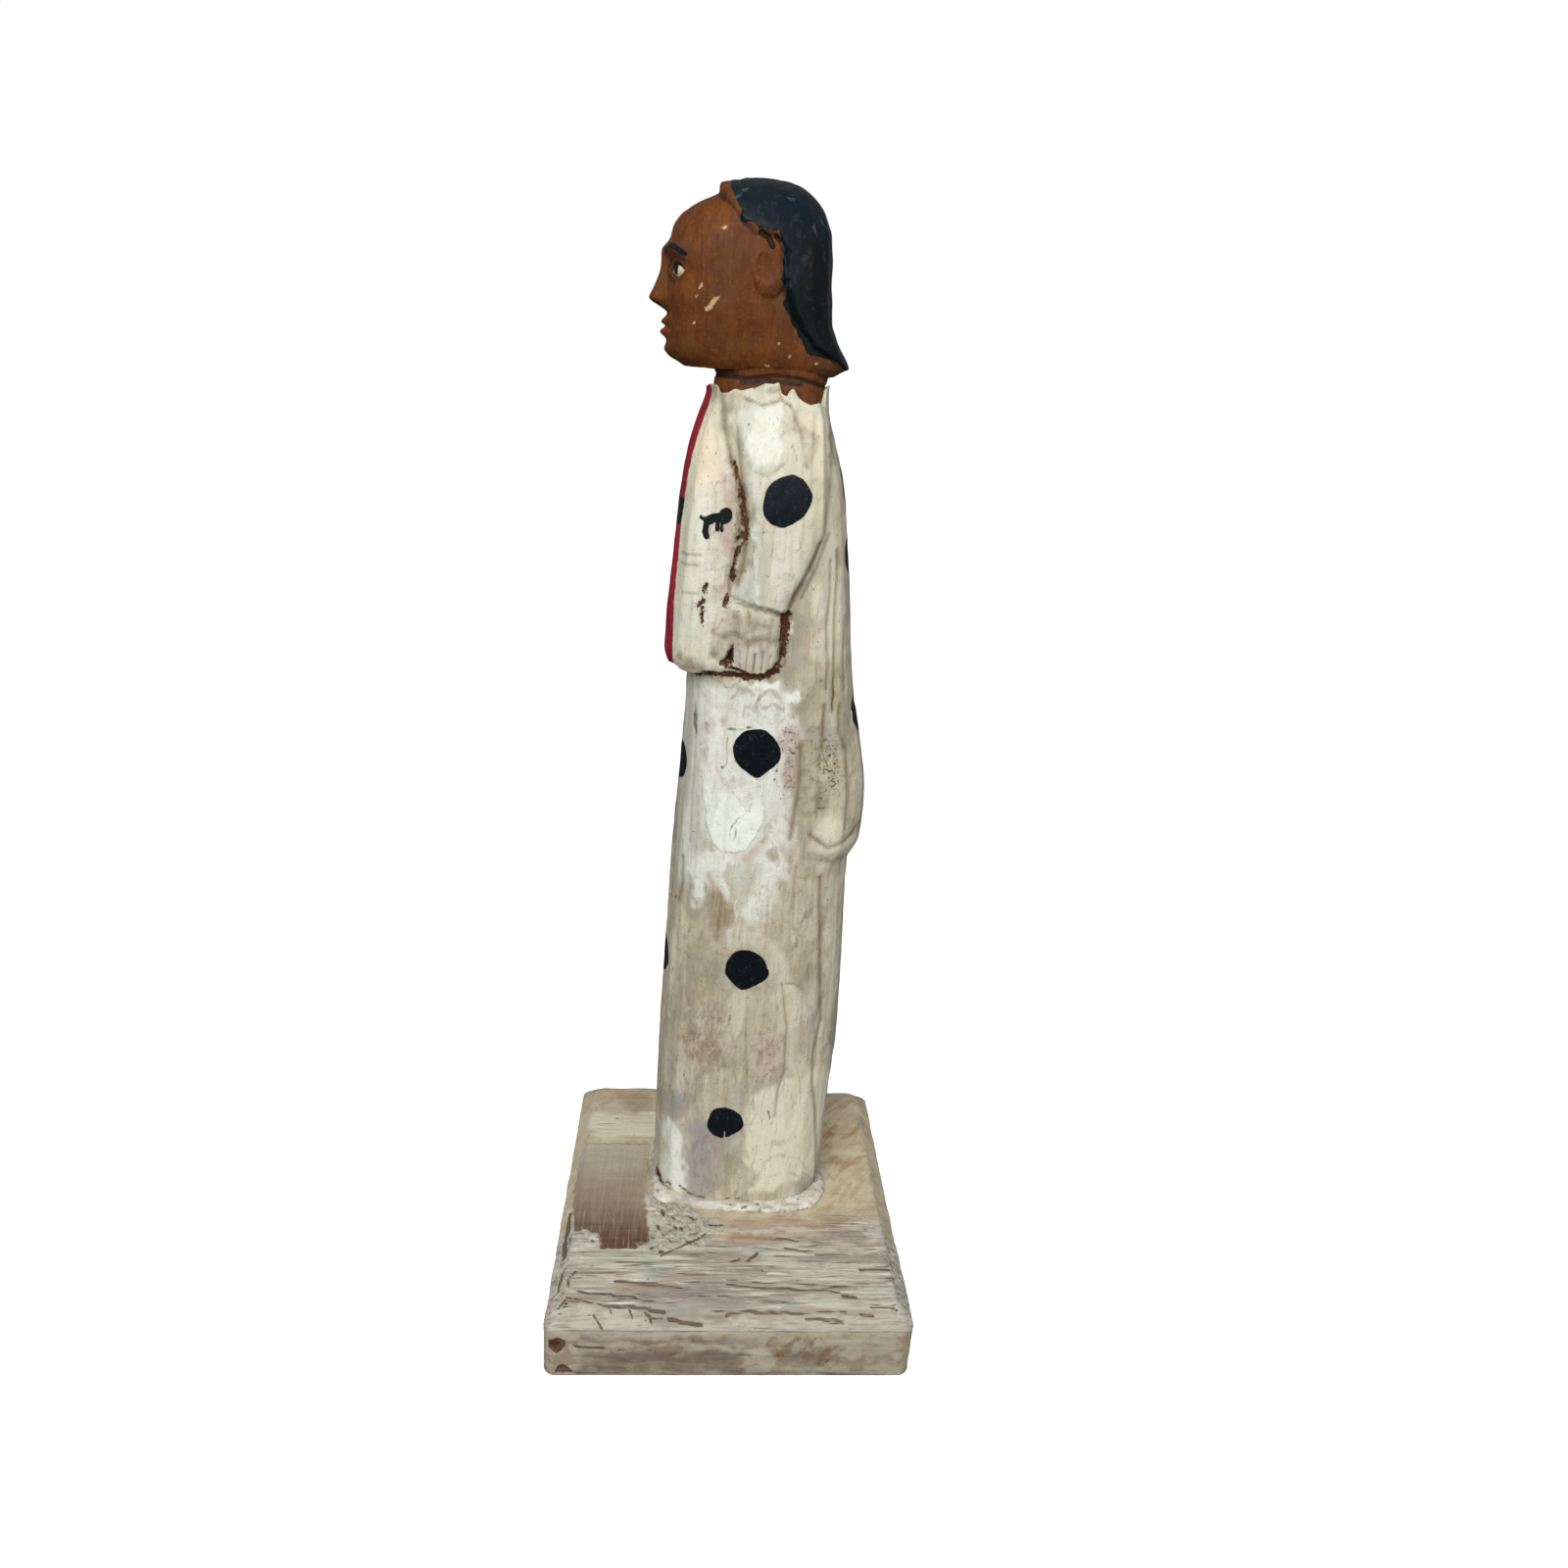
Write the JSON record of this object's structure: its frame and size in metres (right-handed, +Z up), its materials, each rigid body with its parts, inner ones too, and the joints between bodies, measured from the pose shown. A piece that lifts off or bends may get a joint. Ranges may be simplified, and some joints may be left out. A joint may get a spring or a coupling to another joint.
{
  "type": "carved standing figure on a plinth",
  "caption": "Folk-carved painted wooden person in a long spotted robe, standing on a square bevelled plinth.",
  "frame": {"origin": "on the surface it stands on, under the middle of the plinth", "axes": "+Z up; the figure faces -Y and its left side is +X"},
  "size_m": [0.089, 0.089, 0.2637],
  "materials": {
    "painted_wood": "cream paint over brown wood, with dark spots, red front, brown skin and blue-black hair",
    "white_filler": "matt white filler",
    "washed_wood": "thin white wash dragged over brown wood"
  },
  "bodies": {
    "root": {"figure": "painted_wood", "foot_filler": "white_filler", "plinth": "washed_wood"}
  },
  "joints": []
}
